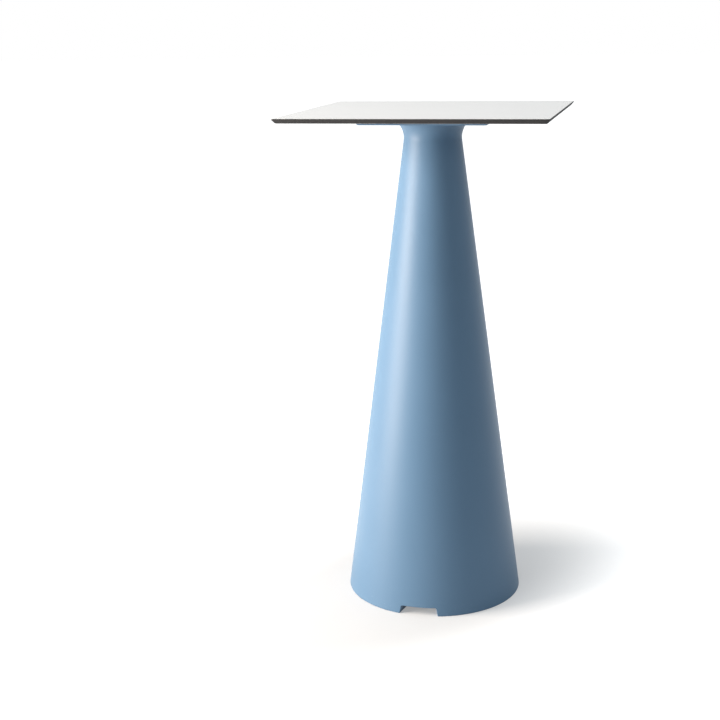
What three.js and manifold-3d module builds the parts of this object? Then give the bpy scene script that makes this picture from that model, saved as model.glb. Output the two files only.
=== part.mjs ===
// Square bar table. A compact laminate top lies on a ribbed plate, the plate is bolted to a hollow
// moulded cone that flares out under it, and an iron disc bolted up into the foot keeps it standing.
// Millimetres, +Z up. The origin is on the floor, on the cone's axis.

import * as THREE from "three";
import { mergeVertices } from "three/addons/utils/BufferGeometryUtils.js";
import Module from "manifold-3d";

const wasm = await Module();
wasm.setup();

// Whole table
const tableHeight = 1100;

// Tabletop: the edge has a short upright land, and is cut back below it
const topSide = 560;
const topThickness = 10;
const topUndercut = 6;
const topLand = 3;
const topCornerRadius = 3;

// Plate under the tabletop: flat below, pocketed above, with ribs from a round hub to the corners
const plateSide = 291;
const plateDepth = 14;
const plateUndercut = 8;
const plateLand = 3;
const plateCornerRadius = 6;
const plateRimWidth = 9;
const plateRibWidth = 8;
const hubRadius = 62;
const hubWall = 8;
const cornerBossRadius = 11;
const cornerBossInset = 24;

// Moulded cone: straight from the foot to the neck, then an arc that opens out to a lip
const footRadius = 199;
const neckRadius = 63.5;
const flareRise = 33;
const flareReach = 14;
const lipHeight = 3;
const shellWall = 5;
const deckThickness = 8;
const deckHoleRadius = 20;

// Foot: a hollow ring stands on the floor round a recess, and notches part it into feet
const rimWidth = 48;
const recessDepth = 66;
const recessDraft = 3;
const notchCount = 3;
const notchWidth = 87;
const notchHeight = 18.5;
const notchDraft = 3;

// Ballast disc in the recess
const ballastSideGap = 8;
const ballastFloorGap = 26;
const ballastChamfer = 2;

// Screws from below into bushes in the tabletop
const topScrewRadius = 3;
const topScrewHeadRadius = 5.5;
const topScrewHeadHeight = 3.3;
const topScrewSink = 0.7;
const topBushWall = 1.5;
const topBushCover = 3;

// Bolts from above through the plate into inserts in the cone's deck
const plateBoltRadius = 4;
const plateBoltHeadRadius = 7;
const plateBoltHeadHeight = 4.4;
const plateBoltCircle = 40;
const plateBoltHeadroom = 3;
const plateWasherRadius = 8;
const plateWasherThickness = 1.6;
const deckInsertWall = 2.5;
const deckInsertLength = 18;

// Bolts from below through the ballast into inserts in the recess ceiling
const ballastBoltRadius = 5;
const ballastBoltHeadRadius = 9.8;
const ballastBoltHeadHeight = 6.4;
const ballastBoltInset = 50;
const ballastWasherRadius = 10.5;
const ballastWasherThickness = 2;
const ballastInsertWall = 3;
const ballastInsertLength = 22;

// Plastic round an insert, and past its blind end
const bossWall = 5;

// Gap between a piece and the hole it sits in, and between a screw's tip and the hole's end
const clearance = 0.3;
const tipClearance = 1;

// How far a cutting body runs past the face it opens
const overrun = 5;

// A socket's circumradius and depth as shares of the screw head's radius and height
const socketRadiusShare = 0.42;
const socketDepthShare = 0.6;

// Numbers of sides and steps
const shellSides = 64;
const discSides = 48;
const roundSides = 16;
const hexSides = 6;
const cornerSteps = 3;
const flareSteps = 8;
const fixingCount = 4;

// Heights that follow from the stack of pieces
const topUnderside = tableHeight - topThickness;
const shellHeight = topUnderside - plateDepth;
const neckHeight = shellHeight - lipHeight - flareRise;
const pocketFloor = topUnderside - plateWasherThickness - plateBoltHeadHeight - plateBoltHeadroom;

// Radii that follow from the foot
const recessRadius = footRadius - rimWidth;
const ceilingRadius = recessRadius - recessDraft;
const ballastRadius = ceilingRadius - ballastSideGap;
const ballastBoltCircle = ballastRadius - ballastBoltInset;

// Holes that follow from the fasteners
const topBushBore = topScrewRadius + clearance;
const topBushRadius = topBushBore + topBushWall;
const topBushLength = topThickness - topBushCover;
const deckInsertBore = plateBoltRadius + clearance;
const deckInsertRadius = deckInsertBore + deckInsertWall;
const ballastInsertBore = ballastBoltRadius + clearance;
const ballastInsertRadius = ballastInsertBore + ballastInsertWall;

// Finishes
const whiteLaminate = { color: 0xeeeeee, roughness: 0.45, metalness: 0 };
const bluePlastic = { color: 0x7c9fc4, roughness: 0.5, metalness: 0 };
const bluePaint = { color: 0x7194ba, roughness: 0.45, metalness: 0 };
const castIron = { color: 0x3a3c3f, roughness: 0.8, metalness: 0.6 };
const plainSteel = { color: 0xb4b7ba, roughness: 0.35, metalness: 1 };
const yellowBrass = { color: 0xc9a65a, roughness: 0.35, metalness: 1 };

// A closed geometry as a solid: shared vertices are merged, and triangles that the axis pinches go
function solidOf(geometry) {
  geometry.deleteAttribute("normal");
  geometry.deleteAttribute("uv");
  const merged = mergeVertices(geometry);
  const corners = Array.from(merged.index.array);
  const kept = [];
  for (let i = 0; i < corners.length; i += 3) {
    const [a, b, c] = corners.slice(i, i + 3);
    if (a !== b && b !== c && c !== a) {
      kept.push(a, b, c);
    }
  }
  const vertProperties = merged.attributes.position.array;
  const triVerts = Uint32Array.from(kept);
  return new wasm.Manifold(new wasm.Mesh({ numProp: 3, vertProperties, triVerts }));
}

function geometryOf(solid) {
  const { vertProperties, triVerts } = solid.getMesh();
  const geometry = new THREE.BufferGeometry();
  geometry.setAttribute("position", new THREE.BufferAttribute(vertProperties, 3));
  geometry.setIndex(new THREE.BufferAttribute(triVerts, 1));
  return geometry;
}

// Profile of [radius, height] points turned about the vertical axis, inside on the left of its path
function turned(profile, sides) {
  const points = profile.map(([radius, height]) => new THREE.Vector2(radius, height));
  return solidOf(new THREE.LatheGeometry(points, sides).rotateX(Math.PI / 2));
}

// Upright round or six-sided bar between two heights
function rod(radius, bottom, top, sides = roundSides) {
  const bar = new THREE.CylinderGeometry(radius, radius, top - bottom, sides);
  return solidOf(bar.rotateX(Math.PI / 2).translate(0, 0, (bottom + top) / 2));
}

function tube(radius, bore, bottom, top) {
  return rod(radius, bottom, top).subtract(rod(bore, bottom - overrun, top + overrun));
}

// Convex outlines with equal numbers of [x, y] points, each at its height, joined from the lowest up
function stacked(sections) {
  const count = sections[0].outline.length;
  const places = sections.flatMap(({ outline, height }) => outline.flatMap(([x, y]) => [x, y, height]));
  const triangles = [];
  for (let level = 0; level < sections.length - 1; level += 1) {
    for (let i = 0; i < count; i += 1) {
      const a = level * count + i;
      const b = level * count + (i + 1) % count;
      triangles.push(a, b, b + count, a, b + count, a + count);
    }
  }
  const last = (sections.length - 1) * count;
  for (let i = 1; i < count - 1; i += 1) {
    triangles.push(0, i + 1, i, last, last + i, last + i + 1);
  }
  const geometry = new THREE.BufferGeometry();
  geometry.setAttribute("position", new THREE.Float32BufferAttribute(places, 3));
  geometry.setIndex(triangles);
  return solidOf(geometry);
}

function roundedSquare(side, radius) {
  const outline = [];
  for (let quarter = 0; quarter < 4; quarter += 1) {
    const diagonal = (quarter + 0.5) * Math.PI / 2;
    const centreX = Math.sign(Math.cos(diagonal)) * (side / 2 - radius);
    const centreY = Math.sign(Math.sin(diagonal)) * (side / 2 - radius);
    for (let step = 0; step <= cornerSteps; step += 1) {
      const angle = (quarter + step / cornerSteps) * Math.PI / 2;
      outline.push([centreX + radius * Math.cos(angle), centreY + radius * Math.sin(angle)]);
    }
  }
  return outline;
}

// Square slab whose side face runs straight down for a land and is then cut back to the lower face
function undercutSlab(side, undercut, land, cornerRadius, bottom, top) {
  const full = roundedSquare(side, cornerRadius);
  const low = roundedSquare(side - 2 * undercut, cornerRadius);
  return stacked([
    { outline: low, height: bottom },
    { outline: full, height: top - land },
    { outline: full, height: top },
  ]);
}

// Places on a circle, and at the corners of a square
function around(count, radius, start) {
  const places = [];
  for (let i = 0; i < count; i += 1) {
    const angle = start + i * 2 * Math.PI / count;
    places.push([radius * Math.cos(angle), radius * Math.sin(angle)]);
  }
  return places;
}

const diagonalStart = Math.PI / 4;
const cornerReach = Math.SQRT2 * (plateSide / 2 - cornerBossInset);
const topScrewPlaces = around(fixingCount, cornerReach, diagonalStart);
const plateBoltPlaces = around(fixingCount, plateBoltCircle, diagonalStart);
const ballastBoltPlaces = around(fixingCount, ballastBoltCircle, diagonalStart);

function copiesAt(solid, places) {
  return places.map(([x, y]) => solid.translate(x, y, 0)).reduce((all, one) => all.add(one));
}

// Tabletop with blind holes for its bushes
function makeTabletop() {
  const slab = undercutSlab(topSide, topUndercut, topLand, topCornerRadius, topUnderside, tableHeight);
  const hole = rod(topBushRadius + clearance, topUnderside - overrun, topUnderside + topBushLength);
  return slab.subtract(copiesAt(hole, topScrewPlaces));
}

// Plate: a pocketed slab that keeps its rim, hub, ribs and corner bosses up to the tabletop
function makePlate() {
  const bottom = shellHeight;
  const slab = undercutSlab(plateSide, plateUndercut, plateLand, plateCornerRadius, bottom, topUnderside);
  const pocketSide = plateSide - 2 * plateUndercut - 2 * plateRimWidth;
  const pocketOutline = roundedSquare(pocketSide, plateCornerRadius);
  const pocketTop = topUnderside + overrun;
  const pocket = stacked([
    { outline: pocketOutline, height: pocketFloor },
    { outline: pocketOutline, height: pocketTop },
  ]);
  const ribHeight = pocketTop - pocketFloor;
  const ribGeometry = new THREE.BoxGeometry(2 * cornerReach, plateRibWidth, ribHeight);
  const rib = solidOf(ribGeometry.translate(0, 0, pocketFloor + ribHeight / 2));
  const turn = THREE.MathUtils.radToDeg(diagonalStart);
  const ribs = rib.rotate(0, 0, turn).add(rib.rotate(0, 0, -turn));
  const hub = rod(hubRadius, pocketFloor, pocketTop, discSides);
  const hubInside = rod(hubRadius - hubWall, pocketFloor - overrun, pocketTop + overrun, discSides);
  const bosses = copiesAt(rod(cornerBossRadius, pocketFloor, pocketTop), topScrewPlaces);
  const standing = ribs.add(hub).subtract(hubInside).add(bosses);
  const screwHole = rod(topScrewRadius + clearance, bottom - overrun, topUnderside + overrun);
  const sinkDepth = topScrewHeadHeight + topScrewSink;
  const screwSink = rod(topScrewHeadRadius + clearance, bottom - overrun, bottom + sinkDepth);
  const boltHole = rod(plateBoltRadius + clearance, bottom - overrun, topUnderside);
  return slab
    .subtract(pocket.subtract(standing))
    .subtract(copiesAt(screwHole.add(screwSink), topScrewPlaces))
    .subtract(copiesAt(boltHole, plateBoltPlaces));
}

// The flare's arc is upright at the neck and ends at the lip, so its rise and reach give its radius
const flareRadius = (flareRise ** 2 + flareReach ** 2) / (2 * flareReach);
const flareCentre = neckRadius + flareRadius;

// Lean of the straight side, which runs from the rim to touch the flare's arc
const centreDistance = Math.hypot(footRadius - flareCentre, neckHeight);
const sideLean = Math.atan2(footRadius - flareCentre, neckHeight) + Math.asin(flareRadius / centreDistance);

// The flare's arc, or one a wall inside it, from the straight side up to a height
function flareArc(inset, topHeight) {
  const radius = flareRadius + inset;
  const endAngle = Math.asin(Math.min(1, (topHeight - neckHeight) / radius));
  const arc = [];
  for (let step = 0; step <= flareSteps; step += 1) {
    const angle = -sideLean + (endAngle + sideLean) * step / flareSteps;
    arc.push([flareCentre - radius * Math.cos(angle), neckHeight + radius * Math.sin(angle)]);
  }
  return arc;
}

// Wedge between the notch's upright sides, which lie along radii, or one grown by a wall all round
function notchBody(grow) {
  const halfAngle = Math.asin(notchWidth / 2 / footRadius);
  const inner = ceilingRadius - overrun - grow;
  const outer = footRadius + overrun;
  const height = notchHeight + grow;
  function section(draft) {
    const extra = grow / Math.cos(halfAngle) - draft;
    const innerHalf = inner * Math.tan(halfAngle) + extra;
    const outerHalf = outer * Math.tan(halfAngle) + extra;
    return [[-innerHalf, -inner], [-outerHalf, -outer], [outerHalf, -outer], [innerHalf, -inner]];
  }
  return stacked([
    { outline: section(0), height: -overrun },
    { outline: section(0), height: 0 },
    { outline: section(notchDraft), height },
  ]);
}

function notches(grow) {
  let all = notchBody(grow);
  for (let i = 1; i < notchCount; i += 1) {
    all = all.add(notchBody(grow).rotate(0, 0, i * 360 / notchCount));
  }
  return all;
}

// Cone: the outer body less its notches, less a hollow that keeps the walls, the walls round the
// notches and a boss round each insert
function makeShell() {
  const lipRadius = neckRadius + flareReach;
  const body = turned([
    [0, recessDepth],
    [ceilingRadius, recessDepth],
    [recessRadius, 0],
    [footRadius, 0],
    ...flareArc(0, shellHeight - lipHeight),
    [lipRadius, shellHeight],
    [0, shellHeight],
  ], shellSides);
  const deckUnderside = shellHeight - deckThickness;
  const ceilingTop = recessDepth + shellWall;
  const innerFoot = footRadius - shellWall / Math.cos(sideLean) - shellWall * Math.tan(sideLean);
  const hollow = turned([
    [0, ceilingTop],
    [ceilingRadius + shellWall, ceilingTop],
    [recessRadius + shellWall, shellWall],
    [innerFoot, shellWall],
    ...flareArc(shellWall, deckUnderside),
    [0, deckUnderside],
  ], shellSides);
  const deckHoleEnd = shellHeight - deckInsertLength;
  const deckBossRadius = deckInsertRadius + clearance + bossWall;
  const deckBoss = rod(deckBossRadius, deckHoleEnd - bossWall, shellHeight - deckThickness / 2);
  const deckInsertHole = rod(deckInsertRadius + clearance, deckHoleEnd, shellHeight + overrun);
  const footHoleEnd = recessDepth + ballastInsertLength;
  const footBossRadius = ballastInsertRadius + clearance + bossWall;
  const footBoss = rod(footBossRadius, recessDepth + shellWall / 2, footHoleEnd + bossWall);
  const footInsertHole = rod(ballastInsertRadius + clearance, recessDepth - overrun, footHoleEnd);
  const bosses = copiesAt(deckBoss, plateBoltPlaces).add(copiesAt(footBoss, ballastBoltPlaces));
  const insertHoles = copiesAt(deckInsertHole, plateBoltPlaces)
    .add(copiesAt(footInsertHole, ballastBoltPlaces));
  const deckHole = rod(deckHoleRadius, deckUnderside - overrun, shellHeight + overrun, discSides);
  return body
    .subtract(notches(0))
    .subtract(hollow.subtract(notches(shellWall)).subtract(bosses))
    .subtract(insertHoles)
    .subtract(deckHole);
}

// Ballast disc with through holes, its edges chamfered
function makeBallast() {
  const disc = turned([
    [0, ballastFloorGap],
    [ballastRadius - ballastChamfer, ballastFloorGap],
    [ballastRadius, ballastFloorGap + ballastChamfer],
    [ballastRadius, recessDepth - ballastChamfer],
    [ballastRadius - ballastChamfer, recessDepth],
    [0, recessDepth],
  ], discSides);
  const hole = rod(ballastBoltRadius + clearance, ballastFloorGap - overrun, recessDepth + overrun);
  return disc.subtract(copiesAt(hole, ballastBoltPlaces));
}

// Fasteners are made upright, with the seat under the head at height zero and the shank above it
function socketScrew(radius, headRadius, headHeight, length) {
  const shoulder = headRadius - headHeight / 2;
  const body = turned([
    [0, -headHeight],
    [shoulder, -headHeight],
    [headRadius, -headHeight / 2],
    [headRadius, 0],
    [radius, 0],
    [radius, length],
    [0, length],
  ], roundSides);
  const socketTop = -headHeight * (1 - socketDepthShare);
  return body.subtract(rod(headRadius * socketRadiusShare, -headHeight - overrun, socketTop, hexSides));
}

function hexBolt(radius, headRadius, headHeight, length) {
  return rod(headRadius, -headHeight, 0, hexSides).add(rod(radius, -headHeight / 2, length));
}

const table = new THREE.Group();

function addPiece(name, solid, finish, x = 0, y = 0, z = 0) {
  const mesh = new THREE.Mesh(geometryOf(solid), new THREE.MeshStandardMaterial(finish));
  mesh.name = name;
  mesh.position.set(x, y, z);
  table.add(mesh);
  return mesh;
}

function addCopies(name, solid, finish, places, z) {
  return places.map(([x, y], i) => addPiece(`${name}_${i + 1}`, solid, finish, x, y, z));
}

addPiece("tabletop", makeTabletop(), whiteLaminate);
addPiece("top_plate", makePlate(), bluePaint);
addPiece("base_shell", makeShell(), bluePlastic);
addPiece("ballast_disc", makeBallast(), castIron);

// Tabletop bushes and the screws that reach them through the plate's corners
const topScrewSeat = shellHeight + topScrewSink + topScrewHeadHeight;
const topScrewLength = topUnderside + topBushLength - tipClearance - topScrewSeat;
const topBush = tube(topBushRadius, topBushBore, 0, topBushLength);
const topScrew = socketScrew(topScrewRadius, topScrewHeadRadius, topScrewHeadHeight, topScrewLength);
addCopies("tabletop_bush", topBush, yellowBrass, topScrewPlaces, topUnderside);
addCopies("tabletop_screw", topScrew, plainSteel, topScrewPlaces, topScrewSeat);

// Deck inserts, and the bolts and washers that hold the plate down on them, heads up
const deckInsert = tube(deckInsertRadius, deckInsertBore, -deckInsertLength, 0);
const plateWasher = tube(plateWasherRadius, plateBoltRadius + clearance, 0, plateWasherThickness);
const plateBoltSeat = pocketFloor + plateWasherThickness;
const plateBoltLength = plateBoltSeat - shellHeight + deckInsertLength - tipClearance;
const plateBolt = socketScrew(plateBoltRadius, plateBoltHeadRadius, plateBoltHeadHeight, plateBoltLength);
addCopies("deck_insert", deckInsert, yellowBrass, plateBoltPlaces, shellHeight);
addCopies("plate_washer", plateWasher, plainSteel, plateBoltPlaces, pocketFloor);
for (const mesh of addCopies("plate_bolt", plateBolt, plainSteel, plateBoltPlaces, plateBoltSeat)) {
  mesh.rotation.x = Math.PI;
}

// Foot inserts, and the bolts and washers that hold the ballast up against the ceiling
const footInsert = tube(ballastInsertRadius, ballastInsertBore, 0, ballastInsertLength);
const ballastWasher = tube(ballastWasherRadius, ballastBoltRadius + clearance, -ballastWasherThickness, 0);
const ballastBoltSeat = ballastFloorGap - ballastWasherThickness;
const ballastBoltLength = recessDepth + ballastInsertLength - tipClearance - ballastBoltSeat;
const ballastBolt = hexBolt(
  ballastBoltRadius, ballastBoltHeadRadius, ballastBoltHeadHeight, ballastBoltLength);
addCopies("foot_insert", footInsert, yellowBrass, ballastBoltPlaces, recessDepth);
addCopies("ballast_washer", ballastWasher, plainSteel, ballastBoltPlaces, ballastFloorGap);
addCopies("ballast_bolt", ballastBolt, plainSteel, ballastBoltPlaces, ballastBoltSeat);

export default table;
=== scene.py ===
# Square bar table: surfaces, finishes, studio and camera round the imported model

import math

import bmesh
import bpy
import numpy as np
from mathutils import Matrix, Vector


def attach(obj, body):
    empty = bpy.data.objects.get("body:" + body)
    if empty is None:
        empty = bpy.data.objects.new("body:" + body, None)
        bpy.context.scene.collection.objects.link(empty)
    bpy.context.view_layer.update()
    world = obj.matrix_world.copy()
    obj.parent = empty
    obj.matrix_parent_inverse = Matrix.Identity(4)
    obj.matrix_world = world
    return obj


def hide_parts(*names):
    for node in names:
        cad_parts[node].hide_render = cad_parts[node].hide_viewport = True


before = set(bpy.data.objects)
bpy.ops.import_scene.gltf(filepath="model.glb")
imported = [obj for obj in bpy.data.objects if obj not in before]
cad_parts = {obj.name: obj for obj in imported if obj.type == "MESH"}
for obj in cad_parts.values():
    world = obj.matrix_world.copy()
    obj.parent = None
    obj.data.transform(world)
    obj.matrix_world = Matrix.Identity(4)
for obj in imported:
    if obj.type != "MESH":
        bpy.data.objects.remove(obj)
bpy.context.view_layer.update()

# Lengths are in millimetres and become metres in the meshes
MM = 0.001

# Tabletop
TABLE_HEIGHT = 1100
TOP_SIDE = 560
TOP_THICKNESS = 10
TOP_UNDERCUT = 6
TOP_LAND = 3
TOP_CORNER = 3
TOP_EDGE_ROUND = 0.35
TOP_FACE_INSET = 24
TOP_UNDERSIDE = TABLE_HEIGHT - TOP_THICKNESS
DECOR_LAYER = 0.2

# Plate
PLATE_DEPTH = 14
PLATE_SIDE = 291
PLATE_UNDERCUT = 8
PLATE_CORNER = 6
PLATE_BOSS_INSET = 24
PLATE_EDGE_ROUND = 0.7
ROUND_PROFILE = 0.5

# Cone
FOOT_RADIUS = 199
NECK_RADIUS = 63.5
FLARE_RISE = 33
FLARE_REACH = 14
LIP_HEIGHT = 3
LIP_FACE = 4
LIP_ROUND = 0.8
SHELL_WALL = 5
DECK_THICKNESS = 8
DECK_HOLE_RADIUS = 20
DECK_HOLE_ROUND = 1
SHELL_HEIGHT = TOP_UNDERSIDE - PLATE_DEPTH
NECK_HEIGHT = SHELL_HEIGHT - LIP_HEIGHT - FLARE_RISE

# Foot
RIM_WIDTH = 48
RIM_EDGE_ROUND = 1.6
RECESS_DEPTH = 66
RECESS_DRAFT = 3
RECESS_ROUND = 4
RECESS_BEND = 12
CEILING_FACE = 10
RING_FACE = 6
NOTCHES = 3
NOTCH_WIDTH = 87
NOTCH_HEIGHT = 18.5
NOTCH_DRAFT = 3
NOTCH_ROOF_ROUND = 4
NOTCH_FOOT_ROUND = 2.6
RECESS_RADIUS = FOOT_RADIUS - RIM_WIDTH
CEILING_RADIUS = RECESS_RADIUS - RECESS_DRAFT

# Ballast
BALLAST_GAP = 8
BALLAST_RADIUS = CEILING_RADIUS - BALLAST_GAP
BALLAST_BOTTOM = 26
BALLAST_CHAMFER = 2
BALLAST_CHAMFER_ROUND = 1
BALLAST_FACE = 12
BALLAST_HOLE_ROUND = 0.6

# Fasteners and the holes they sit in
CLEARANCE = 0.3
BOSS_WALL = 5
BOSS_ROUND = 1
HOLE_FACE = 3
BUSH_HOLE_ROUND = 0.3
INSERT_HOLE_ROUND = 0.4
TOP_SCREW_RADIUS = 3
TOP_SCREW_HEAD_RADIUS = 5.5
TOP_SCREW_HEAD_HEIGHT = 3.3
TOP_SCREW_SEAT = 1080
TOP_SCREW_LENGTH = 16
TOP_SCREW_PITCH = 1.0
TOP_BUSH_RADIUS = 4.8
TOP_BUSH_BORE = 3.3
TOP_BUSH_LENGTH = 7
PLATE_BOLT_RADIUS = 4
PLATE_BOLT_HEAD_RADIUS = 7
PLATE_BOLT_HEAD_HEIGHT = 4.4
PLATE_BOLT_SEAT = 1082.6
PLATE_BOLT_LENGTH = 23.6
PLATE_BOLT_PITCH = 1.25
PLATE_WASHER_RADIUS = 8
PLATE_WASHER_THICKNESS = 1.6
DECK_INSERT_RADIUS = 6.8
DECK_INSERT_BORE = 4.3
DECK_INSERT_LENGTH = 18
BALLAST_BOLT_RADIUS = 5
BALLAST_BOLT_HEAD_RADIUS = 9.8
BALLAST_BOLT_HEAD_HEIGHT = 6.4
BALLAST_BOLT_SEAT = 24
BALLAST_BOLT_LENGTH = 63
BALLAST_BOLT_PITCH = 1.5
BALLAST_WASHER_RADIUS = 10.5
BALLAST_WASHER_THICKNESS = 2
FOOT_INSERT_RADIUS = 8.3
FOOT_INSERT_BORE = 5.3
FOOT_INSERT_LENGTH = 22

# Circles that the fasteners stand on, one in each quarter
TOP_SCREW_CIRCLE = math.sqrt(2) * (PLATE_SIDE / 2 - PLATE_BOSS_INSET)
PLATE_BOLT_CIRCLE = 40
BALLAST_BOLT_CIRCLE = 90

# Numbers of columns, of steps in arcs, and of rows in the cone's stretches
SHELL_COLUMNS = 288
ROUND_COLUMNS = 48
KNURL_COLUMNS = 96
ARC_STEPS = 5
TOP_EDGE_STEPS = 4
NOTCH_ARC_STEPS = 4
EDGE_STEPS = 3
HOLE_STEPS = 2
FLARE_STEPS = 24
INNER_FLARE_STEPS = 10
RECESS_ROWS = 6
SIDE_ROWS = 12
INNER_ROWS = 8
OVER_RECESS_ROWS = 5

# Where the cone's lower rows end, and the single rows above them on its straight sides
SIDE_ROWS_TOP = 260
SIDE_LEVELS = [400, 550, 700, 850, 980]
SIDE_END = 6
INNER_ROWS_TOP = 240
INNER_LEVELS = [900, 700, 500, 300]

# A rounded corner's support points lie this many times as far from the corner as its arc's ends
SUPPORT = 1.5

# Points closer than this, in metres, are welded
WELD = 2e-6
PLATE_WELD = 2.5e-4

# An edge is sharp past the one angle, and faces are one flat face within the other
SHARP_ANGLE = math.radians(32)
FLAT_ANGLE = math.radians(0.5)

full_turn = 2 * math.pi
quarter_turn = math.pi / 2
shell_angle = np.linspace(0, full_turn, SHELL_COLUMNS, endpoint=False) - quarter_turn
round_angle = np.linspace(0, full_turn, ROUND_COLUMNS, endpoint=False)
knurl_angle = np.linspace(0, full_turn, KNURL_COLUMNS, endpoint=False)


# Surfaces as grids of points

def unit(vectors):
    return vectors / np.linalg.norm(vectors, axis=-1, keepdims=True)


def rounded(corners, radii, steps=ARC_STEPS):
    """Path through corners with an arc in place of each inner one. Where u and v point from the corner to
    its neighbours with half the angle b between them, the arc touches both sides at radius / tan(b) from the
    corner, and its centre lies at radius / sin(b) along u + v. A point of the arc is the two touching radii,
    weighted by the sines of the turn that is left and of the turn that is done. A support point lies past
    each touch."""
    corners = np.asarray(corners, float)
    radii = np.asarray(radii, float)[:, None]
    middle = corners[1:-1]
    back = unit(corners[:-2] - middle)
    ahead = unit(corners[2:] - middle)
    half = np.arccos(np.sum(back * ahead, axis=-1, keepdims=True)) / 2
    touch = radii / np.tan(half)
    centre = middle + unit(back + ahead) * radii / np.sin(half)
    first = (middle + back * touch - centre)[:, None]
    last = (middle + ahead * touch - centre)[:, None]
    turn = (math.pi - 2 * half)[:, None]
    share = np.linspace(0, 1, steps + 1)[None, :, None]
    mixed = np.sin((1 - share) * turn) * first + np.sin(share * turn) * last
    arcs = centre[:, None] + mixed / np.sin(turn)
    before = (middle + back * touch * SUPPORT)[:, None]
    after = (middle + ahead * touch * SUPPORT)[:, None]
    run = np.concatenate([before, arcs, after], axis=1).reshape(-1, 2)
    return np.concatenate([corners[:1], run, corners[-1:]])


def ring(radius, angle, height):
    """Points at the radius times the angle's cosine and sine, and at the height."""
    radius, angle, height = np.broadcast_arrays(radius, angle, height)
    return np.stack([radius * np.cos(angle), radius * np.sin(angle), height], axis=-1)


def turned(profile, angle):
    """Profile of radius and height carried round the upright axis."""
    return ring(profile[:, :1], angle, profile[:, 1:])


def square_rings(half, corner, height, straight=10, bend=6):
    """Rings along a rounded square. A quarter runs up half a side at the full half width, round a quarter
    circle about the corner's centre, and along half the next side. The others are that quarter turned."""
    half = np.reshape(half, (-1, 1))
    reach = half - corner
    run = np.linspace(0, 1, straight, endpoint=False)
    turn = np.linspace(0, quarter_turn, bend + 1)
    x = np.concatenate([half + 0 * run, reach + corner * np.cos(turn), reach * (1 - run[1:])], axis=1)
    y = np.concatenate([reach * run, reach + corner * np.sin(turn), half + 0 * run[1:]], axis=1)
    around_x = np.concatenate([x, -y, -x, y], axis=1)
    around_y = np.concatenate([y, x, -y, -x], axis=1)
    level = np.broadcast_to(np.reshape(height, (-1, 1)), around_x.shape)
    return np.stack([around_x, around_y, level], axis=-1)


def quarter_outline(outer, inner, number, side_steps=8):
    """Closed outline of one quarter between two rings: along the outer ring, straight in, back along the
    inner ring, and straight out again."""
    count = len(outer) // 4
    picked = np.arange(number * count, (number + 1) * count + 1) % len(outer)
    out = outer[picked]
    back = inner[picked[::-1]]
    share = np.linspace(0, 1, side_steps + 1)[1:-1, None]
    going_in = out[-1] + (back[0] - out[-1]) * share
    going_out = back[-1] + (out[0] - back[-1]) * share
    return np.concatenate([out, going_in, back, going_out])


def quarter_centre(circle, start, number):
    """Place on a circle in the middle of one of the quarters counted from the start angle."""
    middle = start + (number + 0.5) * quarter_turn
    return circle * np.array([math.cos(middle), math.sin(middle)])


def pierced_face(outer, inner, circle, start, hole, far=None):
    """Flat face between two rings with a round hole in each quarter. Each point of a quarter's outline has a
    direction from the hole's centre. Straight lines join the outline to the hole's edge in these directions,
    and the hole's profile of radius and height is carried round in them. It ends on the axis of the hole, or
    on the same outline of the far face."""
    grids = []
    for number in range(4):
        centre = quarter_centre(circle, start, number)
        outline = quarter_outline(outer, inner, number)
        direction = unit(outline[:, :2] - centre)
        flat = centre + hole[:, :1, None] * direction
        level = np.broadcast_to(hole[:, 1:, None], flat.shape[:2] + (1,))
        rows = [outline[None], np.concatenate([flat, level], axis=-1)]
        if far is not None:
            rows.append(quarter_outline(*far, number)[None])
        grids.append(np.concatenate(rows))
    return grids


def grid_faces(rows, columns, start):
    """Corners of the quads of a grid whose last column joins its first."""
    row = np.arange(rows - 1)[:, None] * columns + start
    column = np.arange(columns)[None, :]
    beside = (column + 1) % columns
    corners = [row + column, row + beside, row + columns + beside, row + columns + column]
    return np.stack(corners, axis=-1).reshape(-1, 4)


def finish_piece(name, mesh, finish, cad_name):
    """Smooth piece with sharp edges past the angle, in its finish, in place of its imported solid."""
    mesh.shade_smooth()
    mesh.set_sharp_from_angle(angle=SHARP_ANGLE)
    mesh.materials.clear()
    mesh.materials.append(finish)
    piece = bpy.data.objects.new(name, mesh)
    bpy.context.scene.collection.objects.link(piece)
    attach(piece, "root")
    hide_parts(cad_name)
    return piece


def make_piece(name, grids, finish, cad_name):
    """Closed surface out of grids of points in millimetres. Points that fall together, at poles and where
    grids meet, are welded."""
    starts = np.cumsum([0] + [grid.shape[0] * grid.shape[1] for grid in grids])
    points = np.concatenate([grid.reshape(-1, 3) for grid in grids]) * MM
    faces = np.concatenate([grid_faces(*grid.shape[:2], start) for grid, start in zip(grids, starts)])
    mesh = bpy.data.meshes.new(name)
    mesh.from_pydata(points.tolist(), [], faces.tolist())
    shape = bmesh.new()
    shape.from_mesh(mesh)
    bmesh.ops.remove_doubles(shape, verts=shape.verts, dist=WELD)
    shape.to_mesh(mesh)
    shape.free()
    return finish_piece(name, mesh, finish, cad_name)


# Nodes and effects shared by the finishes

# Sockets for colours on a Mix node, which has others for numbers and for vectors
MIX_SHARE = 0
MIX_FIRST = 6
MIX_SECOND = 7
MIX_RESULT = 2


def add_node(tree, kind, inputs=None, **settings):
    node = tree.nodes.new(kind)
    for name, value in settings.items():
        setattr(node, name, value)
    for name, value in (inputs or {}).items():
        if isinstance(value, bpy.types.NodeSocket):
            tree.links.new(value, node.inputs[name])
        else:
            node.inputs[name].default_value = value
    return node


def math_node(tree, operation, first, second=0.0, third=0.0):
    inputs = {0: first, 1: second, 2: third}
    return add_node(tree, "ShaderNodeMath", inputs, operation=operation).outputs[0]


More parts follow.
